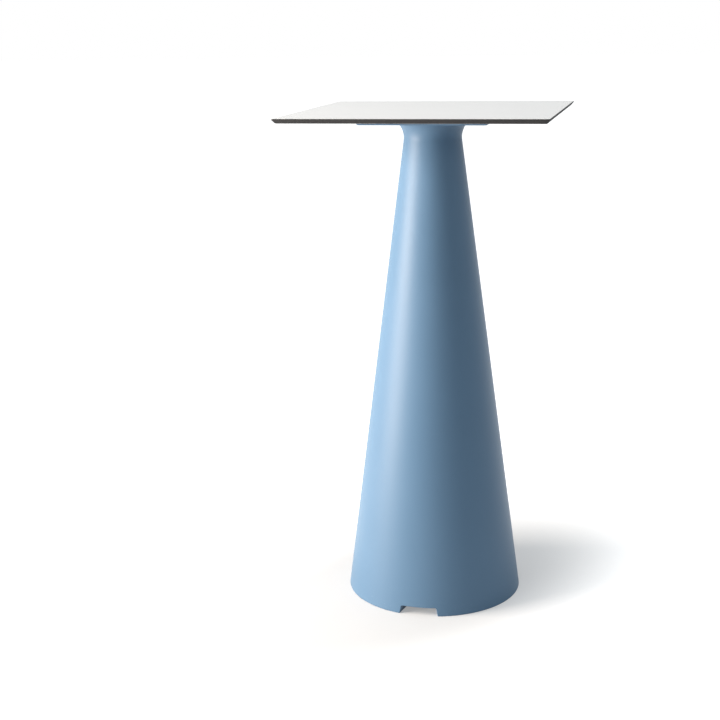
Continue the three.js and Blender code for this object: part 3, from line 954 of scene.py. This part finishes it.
def make_ballast():
    """Chamfered disc turned about the axis, both faces pierced by four straight holes with broken edges."""
    bottom = BALLAST_BOTTOM
    top = RECESS_DEPTH
    face_radius = BALLAST_RADIUS - BALLAST_FACE
    chamfer_radius = BALLAST_RADIUS - BALLAST_CHAMFER
    side = turned(rounded([
        [face_radius, bottom], [chamfer_radius, bottom], [BALLAST_RADIUS, bottom + BALLAST_CHAMFER],
        [BALLAST_RADIUS, top - BALLAST_CHAMFER], [chamfer_radius, top], [face_radius, top],
    ], [BALLAST_CHAMFER_ROUND] * 4, EDGE_STEPS), shell_angle)
    hole_radius = BALLAST_BOLT_RADIUS + CLEARANCE
    hole = rounded([[hole_radius + HOLE_FACE, top], [hole_radius, top], [hole_radius, bottom],
                    [hole_radius + HOLE_FACE, bottom]], [BALLAST_HOLE_ROUND] * 2, EDGE_STEPS)
    axis = np.zeros((SHELL_COLUMNS, 3))
    far = (side[0], axis + [0, 0, bottom])
    faces = pierced_face(side[-1], axis + [0, 0, top], BALLAST_BOLT_CIRCLE, -quarter_turn, hole, far)
    return make_piece("iron_ballast", [side] + faces, grey_iron, "ballast_disc")


# Fasteners, made upright with the seat under the head at height zero

# Button head, in shares of its radius and height, with a hexagon socket
SOCKET_SHARE = 0.42
SOCKET_FLOOR_SHARE = 0.4
SOCKET_POINT = 0.3
SOCKET_CHAMFER = 0.2
SOCKET_RIM = 0.3
CROWN_SHARE = 0.72
SHOULDER_SHARE = 0.35
HEAD_ROUNDS = [0.8, 0.6, 0.2]
SHANK_RELIEF = 0.2

# Hexagon head, in shares of half its width across flats, and levels over its bearing face
HEX_FACE_SHARE = 0.94
HEX_CENTRE_SHARE = 0.9
HEX_EDGE_SHARE = 0.985
HEX_COLLAR_SHARE = 0.97
HEX_BEARING_SHARE = 0.95
HEX_SIDE_LEVEL = 0.5
HEX_EDGE_LEVEL = 0.35
HEX_COLLAR_LEVEL = 0.3
HEX_FILLET = 0.3
PLAIN_SHARE = 0.45

# Threads and the tips of the shanks
THREAD_DEPTH_SHARE = 0.6
THREAD_ROWS_PER_TURN = 6
THREAD_GAP = 0.2
SCREW_THREAD_START = 0.4
SCREW_TIP = 1.2
SCREW_TIP_INSET = 0.9
SCREW_THREAD_END = 1.3
BOLT_TIP = 1.6
BOLT_TIP_INSET = 1.2
BOLT_THREAD_END = 1.7
TIP_STEP = 0.1

# Washers and inserts
WASHER_ROUND = 0.35
KNURL_TEETH = 24
KNURL_DEPTH = 0.18
KNURL_END = 0.5
KNURL_LEAST_ROWS = 12
KNURL_ROWS_PER_MM = 1.4
GROOVE_HALF_SHARE = 0.07
GROOVE_DEPTH = 0.7
INSERT_CHAMFER = 0.6
BORE_CHAMFER = 0.4
BORE_MOUTH = 0.8
BORE_THREAD_SHARE = 0.45


def hexagon(across_half, angle):
    """Radius of a hexagon: half its width across flats over the cosine of the angle from the nearest
    flat."""
    sixth = math.pi / 3
    return across_half / np.cos((angle + sixth / 2) % sixth - sixth / 2)


def thread(radius, pitch, start, end, angle, depth_share=THREAD_DEPTH_SHARE):
    """Screw thread: the radius less a depth times a triangle wave of height over pitch less the share of a
    turn. The depth fades out over one pitch at both ends."""
    rows = int((end - start) / pitch * THREAD_ROWS_PER_TURN) + 1
    height = np.linspace(start, end, rows)[:, None]
    wave = np.abs(2 * ((height / pitch - angle / full_turn) % 1) - 1)
    fade = np.clip(np.minimum(height - start, end - height) / pitch, 0, 1)
    return ring(radius - depth_share * pitch * wave * fade, angle, height)


def pointed_tip(radius, length, tip, inset):
    """End of a shank: a small step in from the thread, a cone, and the flat end."""
    return np.array([[radius - TIP_STEP, length - tip], [radius - inset, length], [0, length]])


def socket_screw_rows(radius, head_radius, head_height, length, pitch):
    """Button head with a hexagon socket, a threaded shank and a pointed tip, from the socket's floor
    outwards."""
    angle = round_angle
    socket = hexagon(head_radius * SOCKET_SHARE * math.cos(math.pi / 6), angle)
    floor = -head_height * SOCKET_FLOOR_SHARE
    head = rounded([
        [socket.max() + SOCKET_RIM, -head_height], [head_radius * CROWN_SHARE, -head_height],
        [head_radius, -head_height * SHOULDER_SHARE], [head_radius, 0], [radius + SHANK_RELIEF, 0],
    ], HEAD_ROUNDS, EDGE_STEPS)
    return np.concatenate([
        ring(0, angle, floor - SOCKET_POINT)[None],
        ring(socket, angle, floor)[None],
        ring(socket, angle, -head_height + SOCKET_CHAMFER)[None],
        ring(socket + SOCKET_CHAMFER, angle, -head_height)[None],
        turned(head, angle),
        thread(radius, pitch, SCREW_THREAD_START, length - SCREW_THREAD_END, angle),
        turned(pointed_tip(radius, length, SCREW_TIP, SCREW_TIP_INSET), angle),
    ])


def hex_bolt_rows(radius, head_radius, head_height, length, pitch):
    """Hexagon head whose outer face is chamfered by a cone of thirty degrees, a bearing ring, a plain shank
    that ends in a thread, and a pointed tip."""
    angle = round_angle
    flat_half = head_radius * math.cos(math.pi / 6)
    corner = hexagon(flat_half, angle)
    face_radius = flat_half * HEX_FACE_SHARE
    drop = (corner - face_radius) * math.tan(math.pi / 6)
    plain = length * PLAIN_SHARE
    return np.concatenate([
        ring(0, angle, -head_height)[None],
        ring(face_radius * HEX_CENTRE_SHARE, angle, -head_height)[None],
        ring(face_radius, angle, -head_height)[None],
        ring(corner, angle, -head_height + drop)[None],
        ring(corner, angle, -HEX_SIDE_LEVEL)[None],
        ring(corner * HEX_EDGE_SHARE, angle, -HEX_EDGE_LEVEL)[None],
        ring(flat_half * HEX_COLLAR_SHARE, angle, -HEX_COLLAR_LEVEL)[None],
        ring(flat_half * HEX_BEARING_SHARE, angle, 0)[None],
        ring(radius + HEX_FILLET, angle, 0)[None],
        ring(radius, angle, HEX_FILLET)[None],
        ring(radius, angle, plain)[None],
        thread(radius, pitch, plain + THREAD_GAP, length - BOLT_THREAD_END, angle),
        turned(pointed_tip(radius, length, BOLT_TIP, BOLT_TIP_INSET), angle),
    ])


def washer_rows(radius, bore, bottom, top):
    """Flat ring with all its edges rounded: a closed section turned about the axis."""
    middle = (radius + bore) / 2
    section = [[middle, bottom], [radius, bottom], [radius, top],
               [bore, top], [bore, bottom], [middle, bottom]]
    return turned(rounded(section, [WASHER_ROUND] * 4, EDGE_STEPS), round_angle)


def insert_rows(radius, bore, bottom, top, pitch):
    """Threaded tube. Outside, two bands carry a diamond knurl, the product of two waves that cross, with a
    smooth groove between them. The bore has a thread."""
    angle = knurl_angle
    length = top - bottom
    rows = max(KNURL_LEAST_ROWS, int(length * KNURL_ROWS_PER_MM))
    height = np.linspace(bottom + KNURL_END, top - KNURL_END, rows)[:, None]
    climb = KNURL_TEETH * height / radius
    waves = np.cos(KNURL_TEETH * angle + climb) * np.cos(KNURL_TEETH * angle - climb)
    from_middle = np.abs((height - bottom) / length - 0.5)
    groove = np.clip(1 - from_middle / GROOVE_HALF_SHARE, 0, 1)
    outer = radius - KNURL_DEPTH * (1 - waves) * (1 - groove) - GROOVE_DEPTH * groove
    crest = bore + BORE_THREAD_SHARE * pitch
    bore_rows = thread(crest, pitch, bottom + BORE_MOUTH, top - BORE_MOUTH, angle, BORE_THREAD_SHARE)
    start = ring(bore + BORE_CHAMFER, angle, bottom)[None]
    return np.concatenate([
        start,
        ring(radius - INSERT_CHAMFER, angle, bottom)[None],
        ring(outer, angle, height),
        ring(radius - INSERT_CHAMFER, angle, top)[None],
        ring(bore + BORE_CHAMFER, angle, top)[None],
        bore_rows[::-1],
        start,
    ])


def make_fasteners(name, cad_name, rows, circle, height, finish):
    """The same fastener in each quarter of its circle."""
    for number in range(4):
        x, y = quarter_centre(circle, 0, number)
        make_piece(f"{name}_{number + 1}", [rows + [x, y, height]], finish, f"{cad_name}_{number + 1}")


def make_corner_fasteners():
    """Screws from below through the plate's corners into the bushes of the tabletop."""
    screw = socket_screw_rows(TOP_SCREW_RADIUS, TOP_SCREW_HEAD_RADIUS, TOP_SCREW_HEAD_HEIGHT,
                              TOP_SCREW_LENGTH, TOP_SCREW_PITCH)
    bush = insert_rows(TOP_BUSH_RADIUS, TOP_BUSH_BORE, 0, TOP_BUSH_LENGTH, TOP_SCREW_PITCH)
    make_fasteners("corner_socket_screw", "tabletop_screw", screw, TOP_SCREW_CIRCLE, TOP_SCREW_SEAT,
                   zinc_steel)
    make_fasteners("laminate_bush", "tabletop_bush", bush, TOP_SCREW_CIRCLE, TOP_UNDERSIDE,
                   yellow_brass)


def make_deck_fasteners():
    """Bolts and washers that hold the plate down on the inserts in the cone's deck. Half a turn about the
    X axis puts the heads of the bolts up."""
    bolt = socket_screw_rows(PLATE_BOLT_RADIUS, PLATE_BOLT_HEAD_RADIUS, PLATE_BOLT_HEAD_HEIGHT,
                             PLATE_BOLT_LENGTH, PLATE_BOLT_PITCH) * [1, -1, -1]
    washer = washer_rows(PLATE_WASHER_RADIUS, DECK_INSERT_BORE, -PLATE_WASHER_THICKNESS, 0)
    insert = insert_rows(DECK_INSERT_RADIUS, DECK_INSERT_BORE, -DECK_INSERT_LENGTH, 0, PLATE_BOLT_PITCH)
    make_fasteners("deck_socket_bolt", "plate_bolt", bolt, PLATE_BOLT_CIRCLE, PLATE_BOLT_SEAT,
                   zinc_steel)
    make_fasteners("deck_bolt_washer", "plate_washer", washer, PLATE_BOLT_CIRCLE, PLATE_BOLT_SEAT,
                   zinc_steel)
    make_fasteners("deck_threaded_insert", "deck_insert", insert, PLATE_BOLT_CIRCLE, SHELL_HEIGHT,
                   yellow_brass)


def make_ballast_fasteners():
    """Bolts and washers that hold the ballast up on the inserts over the recess."""
    bolt = hex_bolt_rows(BALLAST_BOLT_RADIUS, BALLAST_BOLT_HEAD_RADIUS, BALLAST_BOLT_HEAD_HEIGHT,
                         BALLAST_BOLT_LENGTH, BALLAST_BOLT_PITCH)
    washer = washer_rows(BALLAST_WASHER_RADIUS, FOOT_INSERT_BORE, 0, BALLAST_WASHER_THICKNESS)
    insert = insert_rows(FOOT_INSERT_RADIUS, FOOT_INSERT_BORE, 0, FOOT_INSERT_LENGTH, BALLAST_BOLT_PITCH)
    make_fasteners("ballast_hex_bolt", "ballast_bolt", bolt, BALLAST_BOLT_CIRCLE, BALLAST_BOLT_SEAT,
                   zinc_steel)
    make_fasteners("ballast_bolt_washer", "ballast_washer", washer, BALLAST_BOLT_CIRCLE, BALLAST_BOLT_SEAT,
                   zinc_steel)
    make_fasteners("foot_threaded_insert", "foot_insert", insert, BALLAST_BOLT_CIRCLE, RECESS_DEPTH,
                   yellow_brass)


make_tabletop()
make_plate()
make_shell()
make_ballast()
make_corner_fasteners()
make_deck_fasteners()
make_ballast_fasteners()


# Studio, in metres

FLOOR_DROP = 0.0002
FLOOR_HALF = 40.0
FLOOR_TONE = (0.478, 0.485, 0.490, 1)
WHITE = (1, 1, 1, 1)
AMBIENT = 0.46
AMBIENT_COLOUR = (0.94, 1.0, 1.03, 1)

# Painted light on the floor: the oval round the table where the floor's own shade shows under only
# FLOOR_LIFT of a white glow, which rises to full white past the oval. The oval is set off-centre, turned and
# squashed so that the painted glow shapes the table's shadow.
FLOOR_LIFT = 0.315
LIFT_START = 0.35
LIFT_END = 0.946
LIFT_CENTRE = (-0.069, -0.057, 0)
LIFT_TURN = (0, 0, 0.965)
LIFT_SHAPE = (1, 0.527, 1)

# Lamps
SIDE_BOX_PLACE = (-2.17, -1.03, 1.06)
SIDE_BOX_AIM = (0, 0, 0.65)
SIDE_BOX_SIZE = (1.3, 1.85)
SIDE_BOX_POWER = 157.0
SIDE_BOX_COLOUR = (1.0, 0.885, 0.785)
TOP_BOX_PLACE = (0, 0, 3.4)
TOP_BOX_AIM = (0, 0, 0)
TOP_BOX_SIZE = (3.0, 3.0)
TOP_BOX_POWER = 22.0
TOP_BOX_COLOUR = (0.95, 0.975, 1.0)


def seen_directly(tree):
    """One for camera, glossy and transmission rays, and zero for the rays that light things."""
    path = add_node(tree, "ShaderNodeLightPath").outputs
    seen = math_node(tree, "MAXIMUM", path["Is Camera Ray"], path["Is Glossy Ray"])
    return math_node(tree, "MAXIMUM", seen, path["Is Transmission Ray"])


def make_floor_finish():
    """Plain pale floor with a painted glow of white added to it where it is seen directly, a little by the
    table and all of it away from the oval, so that the glow shapes the table's shadow. From below it is
    clear."""
    finish = bpy.data.materials.new("floor_finish")
    finish.use_nodes = True
    tree = finish.node_tree
    tree.nodes.remove(tree.nodes["Principled BSDF"])
    diffuse = add_node(tree, "ShaderNodeBsdfDiffuse", {"Color": FLOOR_TONE})
    oval_inputs = {
        "Vector": object_place(tree),
        "Location": LIFT_CENTRE,
        "Rotation": LIFT_TURN,
        "Scale": LIFT_SHAPE,
    }
    oval = add_node(tree, "ShaderNodeMapping", oval_inputs, vector_type="TEXTURE").outputs[0]
    distance = add_node(tree, "ShaderNodeVectorMath", {0: oval}, operation="LENGTH").outputs["Value"]
    # Painted light: the glow is least in the oval round the table and full away from it, shaping the shadow
    # on the floor
    away = ramped(tree, distance, LIFT_START, LIFT_END, FLOOR_LIFT, 1.0)
    strength = math_node(tree, "MULTIPLY", away, seen_directly(tree))
    painted_floor_glow = add_node(tree, "ShaderNodeEmission", {"Color": WHITE, "Strength": strength})
    lit = add_node(tree, "ShaderNodeAddShader", {0: diffuse.outputs[0], 1: painted_floor_glow.outputs[0]})
    clear = add_node(tree, "ShaderNodeBsdfTransparent")
    from_below = add_node(tree, "ShaderNodeNewGeometry").outputs["Backfacing"]
    mixed = add_node(tree, "ShaderNodeMixShader", {0: from_below, 1: lit.outputs[0], 2: clear.outputs[0]})
    tree.links.new(mixed.outputs[0], tree.nodes["Material Output"].inputs["Surface"])
    return finish


def make_floor():
    """One large square just under the table."""
    mesh = bpy.data.meshes.new("studio_floor")
    corners = np.array([[-1, -1, 0], [1, -1, 0], [1, 1, 0], [-1, 1, 0]]) * FLOOR_HALF - [0, 0, FLOOR_DROP]
    mesh.from_pydata(corners.tolist(), [], [[0, 1, 2, 3]])
    mesh.materials.append(make_floor_finish())
    floor = bpy.data.objects.new("studio_floor", mesh)
    bpy.context.scene.collection.objects.link(floor)


def make_world():
    """White where it is seen, and a plain soft grey where it lights."""
    world = bpy.data.worlds.new("studio_world")
    world.use_nodes = True
    bpy.context.scene.world = world
    tree = world.node_tree
    seen = seen_directly(tree)
    background = tree.nodes["Background"]
    tree.links.new(blended(tree, seen, AMBIENT_COLOUR, WHITE), background.inputs["Color"])
    tree.links.new(raised(tree, AMBIENT, seen, 1 - AMBIENT), background.inputs["Strength"])


def make_softbox(name, place, aim, size, power, colour):
    """Rectangular lamp at a place, turned to face its aim."""
    lamp = bpy.data.lights.new(name, "AREA")
    lamp.shape = "RECTANGLE"
    lamp.size, lamp.size_y = size
    lamp.energy = power
    lamp.color = colour
    softbox = bpy.data.objects.new(name, lamp)
    softbox.location = place
    softbox.rotation_euler = (Vector(aim) - Vector(place)).to_track_quat("-Z", "Y").to_euler()
    bpy.context.scene.collection.objects.link(softbox)


make_floor()
make_world()
make_softbox("side_softbox", SIDE_BOX_PLACE, SIDE_BOX_AIM, SIDE_BOX_SIZE, SIDE_BOX_POWER, SIDE_BOX_COLOUR)
make_softbox("top_softbox", TOP_BOX_PLACE, TOP_BOX_AIM, TOP_BOX_SIZE, TOP_BOX_POWER, TOP_BOX_COLOUR)


# Camera, in metres, with its lens and sensor in millimetres

CAMERA_DISTANCE = 2.939
CAMERA_HEIGHT = 1.297
CAMERA_AZIMUTH = math.radians(10.485)
CAMERA_PITCH = math.radians(14.43)
CAMERA_YAW = math.radians(3.259)
CAMERA_ROLL = math.radians(-1.0)
CAMERA_LENS = 66.75
CAMERA_SENSOR = 36
CAMERA_NEAREST = 0.05
CAMERA_FARTHEST = 200


def make_camera():
    """Camera on a circle round the axis, turned by azimuth and yaw, tipped down by the pitch, then
    rolled."""
    lens = bpy.data.cameras.new("photo_camera")
    lens.sensor_width = CAMERA_SENSOR
    lens.lens = CAMERA_LENS
    lens.clip_start = CAMERA_NEAREST
    lens.clip_end = CAMERA_FARTHEST
    camera = bpy.data.objects.new("photo_camera", lens)
    bpy.context.scene.collection.objects.link(camera)
    x = CAMERA_DISTANCE * math.sin(CAMERA_AZIMUTH)
    y = -CAMERA_DISTANCE * math.cos(CAMERA_AZIMUTH)
    place = Matrix.Translation((x, y, CAMERA_HEIGHT))
    heading = Matrix.Rotation(CAMERA_AZIMUTH + CAMERA_YAW, 4, "Z")
    tip = Matrix.Rotation(quarter_turn - CAMERA_PITCH, 4, "X")
    roll = Matrix.Rotation(CAMERA_ROLL, 4, "Z")
    camera.matrix_world = place @ heading @ tip @ roll
    bpy.context.scene.camera = camera


make_camera()
bpy.context.scene.view_settings.view_transform = "Standard"
